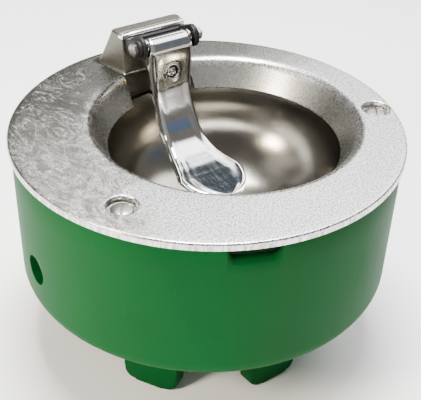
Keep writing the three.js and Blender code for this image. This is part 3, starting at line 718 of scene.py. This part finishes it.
def base_body(material):
    obj = skirt()
    deck_rows = [(193, 208, 0, 0), (193, 213, 0, 0), (142.6, 213, *OPENING), (142.6, 208, *OPENING)]
    deck = rings("deck", deck_rows, 200)
    column = [(0, 212), (9, 212), (9, COLUMN_TOP - 0.6), (8.4, COLUMN_TOP), (0, COLUMN_TOP)]
    columns = [turned("column", column, 48, at) for at in SCREWS.values()]
    boss = turned("boss", [(0, -192), (19, -192), (19, -180.6), (18.4, -180), (0, -180)], 72)
    pad = moved(block("pad", (-31, 31), (183, 194), (211, 241.7)), turn=NOTCH_TURN - 90)
    combine(obj, "UNION", deck, turn_to(boss, "x", SIDE_HOLE), pad, *columns)
    slot = moved(block("slot", (-22, 22), (150, 185.5), (80, 93)), turn=SLOT_TURN - 90)
    gap = block("gap", (9, 41), (146, 178), (193, 233))  # for the inlet elbow
    drills = [rod("drill", SCREW_HOLE_R, 190, 245, 32, at) for at in SCREWS.values()]
    combine(obj, "DIFFERENCE", side_hole_cutter(), slot, notch_cutter(), gap, *drills)
    combine(obj, "UNION", *[foot(a) for a in FOOT_ANGLES])
    return piece(obj, "housing", "green_plastic", material, "base_body")


# ---------------------------------------------------------------- bowl
def bowl(material):
    inside, turn_at, corner, sheet = 139.5, 200, 92, 1.5
    floor, flange = turn_at - corner, 214.8
    outer = arc(inside - corner, turn_at, corner + sheet, -90, 0, 40)
    inner = arc(inside - corner, turn_at, corner, 0, -90, 40)
    profile = [(0, floor - sheet), (25, floor - sheet), *outer]
    profile += [(141, flange - sheet), (148.5, flange - sheet), (148.5, flange), (140.6, flange)]
    profile += [(139.8, 214.3), (inside, 213.4), *inner, (25, floor), (0, floor)]
    obj = turned("bowl_detail", profile, 224, OPENING)
    return piece(obj, "housing", "stainless", material, "bowl")


# ---------------------------------------------------------------- paddle
# Face line from the hood's front down to the root of the rounded tip: half width, y and z.
FACE_LINE = [
    (27.5, 105, 282.5),
    (26.5, 105, 262),
    (24.8, 103.5, 245),
    (24, 98.5, 226),
    (24.2, 90, 206),
    (25, 78, 191.5),
    (28, 62, 181.2),
    (33, 44, 176),
    (39.5, 27, 172.5),
]
TIP_R, TIP_DROP = 39.5, 0.17
HOOD_R, HOOD_DROP, HOOD_START, SHEET = 14, 5.5, 75, 2.2
FLANGE, TIP_FLANGE, TIP_DISH = 11, 6.0, 0.6
DISH = 1.5  # how deep the face is sunk between its rolled edges
HOLE_Z = VALVE_Z + 0.9


def spline(points, count):
    """Points at even steps along a smooth line through the given ones."""
    p = np.array(points, float)
    p = np.vstack([2 * p[0] - p[1], p, 2 * p[-1] - p[-2]])
    fine = []
    for i in range(1, len(p) - 2):
        a, b, c, d = p[i - 1 : i + 3]
        for t in np.linspace(0, 1, 40, endpoint=False):
            curve = 2 * b + (c - a) * t + (2 * a - 5 * b + 4 * c - d) * t**2
            fine.append(0.5 * (curve + (3 * b - a - 3 * c + d) * t**3))
    fine.append(p[-2])
    fine = np.array(fine)
    run = np.concatenate([[0], np.cumsum(np.linalg.norm(np.diff(fine, axis=0), axis=1))])
    even = np.linspace(0, run[-1], count)
    return np.stack([np.interp(even, run, fine[:, k]) for k in range(fine.shape[1])], 1)


def step(t, low, high):
    """0 up to `low`, 1 from `high`, and a smooth rise between them."""
    t = min(1.0, max(0.0, (t - low) / (high - low)))
    return t * t * (3 - 2 * t)


def paddle_stations():
    """Down the paddle: half width, y, z, normal y, normal z, flange depth and dish.

    The normal points behind the face.
    """
    stations = []
    for y, z in arc(0, 0, 1, HOOD_START, 180, 34)[:-1]:
        hood_y, hood_z = PIN_Y + y * HOOD_R, PIN_Z - HOOD_DROP + z * HOOD_R
        stations.append((FACE_LINE[0][0], hood_y, hood_z, -y, -z, 8.0, 0.0))
    line = spline(FACE_LINE, 150)
    slope = np.gradient(line, axis=0)
    for i, ((w, y, z), (_, dy, dz)) in enumerate(zip(line[:-1], slope[:-1])):
        t = i / (len(line) - 1)
        length = math.hypot(dy, dz)
        depth = FLANGE + (TIP_FLANGE - FLANGE) * min(1, 1.4 * t)
        dish = 0.30 * step(t, 0.004, 0.09) - 0.10 * step(t, 0.30, 0.335) + 0.40 * step(t, 0.45, 0.80)
        stations.append((w, y, z, -dz / length, dy / length, depth, dish))
    _, y0, z0 = line[-1]
    length = math.hypot(1, TIP_DROP)
    for a in np.radians(np.linspace(0, 89, 34)):
        reach, w = TIP_R * math.sin(a), TIP_R * math.cos(a)
        y, z = y0 - reach / length, z0 - TIP_DROP * reach / length
        stations.append((w, y, z, TIP_DROP / length, -1 / length, TIP_FLANGE, TIP_DISH))
    return stations


def paddle(material):
    """The pressed sheet: flanges turned back at its sides, a rolled edge, a full hood and a sunk face."""
    rows = []
    for w, y, z, ny, nz, depth, dish in paddle_stations():
        r = min(6.5 - 1.5 * dish, 0.8 * w)  # of the roll between the face and the flange
        side = [(w, depth), (w, depth * 0.6 + r * 0.4), (w, r + 0.3)]
        side += [(w - r + r * math.cos(a), r - r * math.sin(a)) for a in np.radians(range(0, 91, 15))][1:]
        flat = w - r
        across = []
        for t in np.linspace(0, 1, 28)[1:]:
            sunk = 0.5 - 0.5 * math.cos(math.pi * min(1, t / 0.45))
            across.append((flat * (1 - t), DISH * dish * sunk))
        half = side + across
        section = half + [(-u, v) for u, v in half[-2::-1]]
        rows.append([(MID_X + u, y + ny * v, z + nz * v) for u, v in section])
    size = len(rows[0])
    faces = []
    for i in range(len(rows) - 1):
        for j in range(size - 1):
            faces.append((i * size + j, (i + 1) * size + j, (i + 1) * size + j + 1, i * size + j + 1))
    obj = mesh_of("paddle_detail", [p for row in rows for p in row], faces)
    face_out(obj)
    ring_round_hole(obj)
    thick = obj.modifiers.new("sheet", "SOLIDIFY")
    thick.thickness = SHEET * MM
    thick.offset = -1
    thick.use_even_offset = False
    thick.use_rim = True
    apply_modifiers(obj)
    combine(obj, "DIFFERENCE", turn_to(rod("hole", 7, 85, 116, 64), "y", (MID_X, 0, HOLE_Z)))
    lugs = [rod("lug", 8.3, dx - 27.45, dx - 25.35, 64) for dx in (0, 52.8)]
    combine(obj, "UNION", *[turn_to(lug, "x", PIN) for lug in lugs])
    combine(obj, "DIFFERENCE", turn_to(rod("bore", 6.3, -40, 40, 56), "x", PIN))
    shade(obj, 50)
    return piece(obj, "paddle", "polished_stainless", material, "paddle")


def face_out(obj):
    """Turns the open sheet's faces so that the strap's face looks towards -Y."""
    mesh = obj.data
    middle = min(mesh.polygons, key=lambda p: (p.center - Vector((MID_X, 100, 226)) * MM).length)
    if middle.normal.y > 0:
        mesh.flip_normals()


def ring_round_hole(obj):
    """A pressed ring stands a little proud round the hole."""
    ring_r, width, height = 9.2, 1.8, 0.5
    for v in obj.data.vertices:
        x, y, z = v.co / MM
        if y < 112:
            r = math.hypot(x - MID_X, z - HOLE_Z)
            v.co.y -= height * math.exp(-(((r - ring_r) / width) ** 2)) * MM


# ---------------------------------------------------------------- hinge
def hexagon(name, flats, z0, z1, bevel=1.4):
    """A bolt head or nut whose corners are turned off at both ends."""
    corner, flat = flats / math.sqrt(3), flats / 2 - 0.4
    corners = arc(0, 0, corner, 0, 300, 5)
    solid = stacked(name, [[(x, y, z) for x, y in corners] for z in (z0, z1)])
    profile = [(0, z0), (flat, z0), (corner, z0 + bevel), (corner, z1 - bevel), (flat, z1), (0, z1)]
    combine(solid, "INTERSECT", turned("limit", profile, 72))
    return soften(solid, 0.25, 25, 2)


def threaded(name, r, z0, z1, pitch=1.25, depth=0.45):
    """A rod with ridges at the thread's pitch."""
    core = r - depth
    profile = [(0, z0), (core, z0)]
    z = z0 + 0.5
    while z + pitch < z1 - 0.3:
        profile += [(core, z), (r, z + pitch * 0.35), (r, z + pitch * 0.5), (core, z + pitch * 0.85)]
        z += pitch
    profile += [(core, z1 - 0.5), (core - 0.5, z1), (0, z1)]
    return turned(name, profile, 40)


EAR_IN, EAR_LEFT, EAR_RIGHT = 29.8, 37.4, 35.5  # faces of the ears, from the middle
BOLT_R, BOLT_HOLE_R = 4, 4.3
FLATS = 13  # width of the bolt's head and of its nut


def hinge_bracket(material):
    """A plate on the leaning wall with an ear on each side of the paddle, made round the hinge pin."""
    low, top, ear_r = -14.6, 2.2, 12.5  # the top is 1.8 mm below the CAD's
    foot, back = (front_wall_y(PIN_Z + z) - GAP - PIN_Y for z in (low, 0))
    rear = [(foot, low), (back, 0), (back, top)]

    def ear(x0, x1, r, foot_y):
        made = prism("ear", rear + arc(0, 0, r, 80, 250, 24) + [(foot_y, low)], x0, x1)
        return soften(made, 0.9)

    plate = [(foot - 5, low), *rear, (back - 6, top)]
    obj = soften(prism("hinge_bracket_detail", plate, -EAR_LEFT, EAR_RIGHT), 0.8)
    ears = [ear(-EAR_LEFT, -32.5, 9.5, 14), ear(-34, -EAR_IN, ear_r, 8), ear(EAR_IN, EAR_RIGHT, ear_r, 8)]
    combine(obj, "UNION", *ears)
    combine(obj, "DIFFERENCE", turn_to(rod("bore", BOLT_HOLE_R, -60, 60, 64), "x"))
    for dx in (-15, 15):
        combine(obj, "DIFFERENCE", turn_to(rod("hole", 2.6, 5, 40, 32), "y", (dx, 0, 281 - PIN_Z)))
    moved(obj, *PIN)
    return piece(obj, "housing", "black_plastic", material, "hinge_bracket")


def hinge_bolt(material):
    seat = -EAR_LEFT - GAP
    head = hexagon("hinge_bolt_detail", FLATS, seat - 5.5, seat, 0.7)
    moved(head, turn=30)
    combine(head, "UNION", rod("shank", BOLT_R, seat - 1, 30, 48))
    obj = joined("hinge_bolt_detail", [head, threaded("thread", BOLT_R, 29, 45.5)])
    turn_to(obj, "x", PIN)
    return piece(obj, "housing", "zinc_steel", material, "hinge_bolt")


def hinge_nut(material):
    obj = hexagon("hinge_nut_detail", FLATS, EAR_RIGHT + 2, EAR_RIGHT + 7.5)
    combine(obj, "DIFFERENCE", rod("bore", BOLT_HOLE_R, 20, 60, 40))
    turn_to(obj, "x", PIN)
    return piece(obj, "housing", "zinc_steel", material, "hinge_nut")


def flow_screw(material):
    """The slotted screw in the middle of the pusher cap, seen through the paddle's hole."""
    head_r, shank_r, back, end = 5.3, 2.4, 110.2, 115.6
    profile = [(0, 106.9), (4.3, 106.95), (4.9, 107.2), (head_r, 107.8), (head_r, back)]
    profile += [(shank_r, back), (shank_r, end), (0, end)]
    obj = turned("flow_screw_detail", profile, 56)
    slot = moved(block("slot", (-7, 7), (-0.6, 0.6), (105, 107.6)), turn=-28)
    combine(obj, "DIFFERENCE", slot)
    soften(obj, 0.2, 40, 2)
    turn_to(obj, "y", VALVE)
    return piece(obj, "flow_screw", "polished_stainless", material, "flow_screw")


def valve_spring(material):
    """The return spring: round wire in an open coil, made at one length; the real one shortens as the stem
    moves in.
    """
    turns, radius, wire, sides, steps = 3.5, 5.4, 0.5, 12, 168
    start, end, fixed_end, travel = 145.4, 153.1, 153.6, 4.9
    points, faces = [], []
    for i in range(steps + 1):
        a = i / steps * turns * 2 * math.pi
        y = start + (end - start) * i / steps
        for b in np.radians(np.arange(0, 360, 360 / sides)):
            r = radius + wire * math.cos(b)
            points.append((MID_X + r * math.cos(a), y + wire * math.sin(b), VALVE_Z + r * math.sin(a)))
    for i in range(steps):
        for j in range(sides):
            k = (j + 1) % sides
            faces.append((i * sides + j, i * sides + k, (i + 1) * sides + k, (i + 1) * sides + j))
    faces += [tuple(range(sides)), tuple(range(len(points) - 1, len(points) - 1 - sides, -1))]
    obj = mesh_of("valve_spring_detail", points, faces)
    shade(obj, 50)
    piece(obj, "housing", "stainless", material, "valve_spring")
    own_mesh(obj)
    return obj


def cover_screw(side, at, material):
    """A domed head with a slot, in its counterbore."""
    seat, head_r, shank_r = COVER_TOP - COUNTERBORE_DEPTH + GAP, 11, 4.4
    angles = np.radians(np.linspace(88, 0, 16))
    dome = [(head_r * math.sin(a), seat + 1.5 + 2.8 * math.cos(a)) for a in angles]
    profile = [(0, 199), (shank_r, 199), (shank_r, seat), (head_r - 0.6, seat), (head_r, seat + 0.6), *dome]
    obj = turned(f"cover_screw_{side}_detail", profile, 80)
    slot = block("slot", (-1.3, 1.3), (-14, 14), (seat + 2.0, seat + 8))
    combine(obj, "DIFFERENCE", moved(slot, turn=-35))
    soften(obj, 0.25, 40, 2, lambda p: p.z > seat + 1)
    moved(obj, *at)
    return piece(obj, "housing", "zinc_steel", material, f"cover_screw_{side}")


# ---------------------------------------------------------------- build
ALUMINIUM, STEEL, MIRROR = cast_aluminium(), drawn_steel(), polished_steel()
ZINC, BRASS, GREEN = plated_steel(), brass(), green_plastic()
BLACK, RUBBER = black_plastic(), rubber()

cover(ALUMINIUM)
base_body(GREEN)
bowl(STEEL)
paddle(MIRROR)
hinge_bracket(BLACK)
hinge_bolt(ZINC)
hinge_nut(ZINC)
flow_screw(MIRROR)
valve_spring(STEEL)
for side, at in SCREWS.items():
    cover_screw(side, at, ZINC)

by_slot = {
    "cast_aluminium": ALUMINIUM,
    "stainless": STEEL,
    "polished_stainless": MIRROR,
    "zinc_steel": ZINC,
    "brass": BRASS,
    "green_plastic": GREEN,
    "black_plastic": BLACK,
    "rubber": RUBBER,
}
slots = {part["node"]: part["material_slot"] for part in frame["record"]["subparts"]}
for name, node in frame["nodes"].items():
    node.data.materials.clear()
    node.data.materials.append(by_slot[slots[name]])
    shade(node, 35)


# ---------------------------------------------------------------- floor, light, camera
def floor():
    mesh = bpy.data.meshes.new("floor")
    half = 40
    corners = [(-half, -half, 0), (half, -half, 0), (half, half, 0), (-half, half, 0)]
    mesh.from_pydata(corners, [], [(0, 1, 2, 3)])
    obj = add_object("floor", mesh)
    n = Nodes("floor_white")
    tone = n.noise(3, 2.0, 0.5)
    obj.data.materials.append(n.finish(n.colours(tone, (0.93, 0.93, 0.93), (0.96, 0.96, 0.96)), 0.9))


def soft_light(name, place, target, size, power, colour=(1, 1, 1)):
    data = bpy.data.lights.new(name, "AREA")
    data.shape = "RECTANGLE"
    data.size, data.size_y = size
    data.energy = power
    data.color = colour
    obj = add_object(name, data)
    obj.location = place
    obj.rotation_euler = (Vector(place) - Vector(target)).to_track_quat("Z", "Y").to_euler()


# Azimuth from +Y towards +X and elevation in degrees; each patch covers those before it.
ROOM = (0.22, 0.21, 0.195)
PANELS = [
    (215, 30, 10, 60, 0.0, (0.45, 0.44, 0.42)),  # pale wall behind the camera
    (42, 51, 15, 22, 0.0, (6.0, 6.0, 6.0)),  # big white panel behind
    (64, 44, 15, 24, 0.0, (6.0, 6.0, 6.0)),  # and to the right
    (92, 60, 9, 20, 0.0, (6.0, 6.0, 6.0)),  # its upper end
    (-65, 42, 8, 22, 0.0, (1.9, 1.85, 1.75)),  # a dimmer one behind, to the left
    (43, 48, 5.5, 13, 0.10, (0.28, 0.36, 0.49)),  # a window in it
    (44, 47, 0.5, 9, 0.12, (0.07, 0.09, 0.11)),  # and a dark frame inside that
    (42, 33, 4, 7.5, 0.0, (7.0, 7.0, 7.0)),  # a bright strip below it
    (140, 30, 6, 12, 0.10, (0.14, 0.20, 0.31)),  # blue light from the right
]


def sky():
    """A dim studio with soft bright panels.

    Each is a patch round a direction: azimuth, elevation, inner and outer radius, unevenness and colour.
    """
    world = bpy.data.worlds.new("studio")
    bpy.context.scene.world = world
    world.use_nodes = True
    tree = world.node_tree
    tree.nodes.clear()
    add, link = tree.nodes.new, tree.links.new
    out, light, where = add("ShaderNodeOutputWorld"), add("ShaderNodeBackground"), add("ShaderNodeTexCoord")
    direction = where.outputs["Generated"]
    noise = add("ShaderNodeTexNoise")
    noise.inputs["Scale"].default_value = 9
    noise.inputs["Detail"].default_value = 4
    link(direction, noise.inputs["Vector"])
    total = None
    for azimuth, elevation, inner, outer, uneven, colour in PANELS:
        a, e = math.radians(azimuth), math.radians(elevation)
        centre = (math.sin(a) * math.cos(e), math.cos(a) * math.cos(e), math.sin(e))
        near = add("ShaderNodeVectorMath")
        near.operation = "DOT_PRODUCT"
        link(direction, near.inputs[0])
        near.inputs[1].default_value = centre
        edge = add("ShaderNodeMath")
        edge.operation = "MULTIPLY_ADD"
        link(noise.outputs["Fac"], edge.inputs[0])
        edge.inputs[1].default_value = uneven
        link(near.outputs["Value"], edge.inputs[2])
        mask = add("ShaderNodeMapRange")
        mask.interpolation_type = "SMOOTHSTEP"
        link(edge.outputs[0], mask.inputs["Value"])
        mask.inputs[1].default_value = math.cos(math.radians(outer)) + uneven / 2
        mask.inputs[2].default_value = math.cos(math.radians(inner)) + uneven / 2
        mix = add("ShaderNodeMix")
        mix.data_type = "RGBA"
        link(mask.outputs[0], mix.inputs["Factor"])
        if total is None:
            mix.inputs["A"].default_value = (*ROOM, 1)
        else:
            link(total, mix.inputs["A"])
        mix.inputs["B"].default_value = (*colour, 1)
        total = mix.outputs["Result"]
    link(total, light.inputs[0])
    link(light.outputs[0], out.inputs[0])


def camera():
    data = bpy.data.cameras.new("camera")
    data.lens = 87.16
    data.sensor_width = 36
    azimuth, elevation, roll = map(math.radians, (-35.323, 34.266, 2.056))
    level = math.cos(elevation)
    back = Vector((math.sin(azimuth) * level, -math.cos(azimuth) * level, math.sin(elevation)))
    right = Vector((math.cos(azimuth), math.sin(azimuth), 0))
    up = back.cross(right)
    side = right * math.cos(roll) + up * math.sin(roll)
    top = up * math.cos(roll) - right * math.sin(roll)
    obj = add_object("camera", data)
    turn = Matrix((side, top, back)).transposed().to_4x4()
    obj.matrix_world = Matrix.Translation((-0.511, -0.7305, 0.7669)) @ turn
    bpy.context.scene.camera = obj


floor()
sky()
soft_light("overhead", (0.05, 0.15, 2.1), (0, 0, 0.2), (0.8, 0.8), 150)
soft_light("lamp_left", (-1.313, -0.077, 0.814), (0.138, 0.064, 0.155), (0.30, 0.30), 34, (1, 0.90, 0.74))
camera()
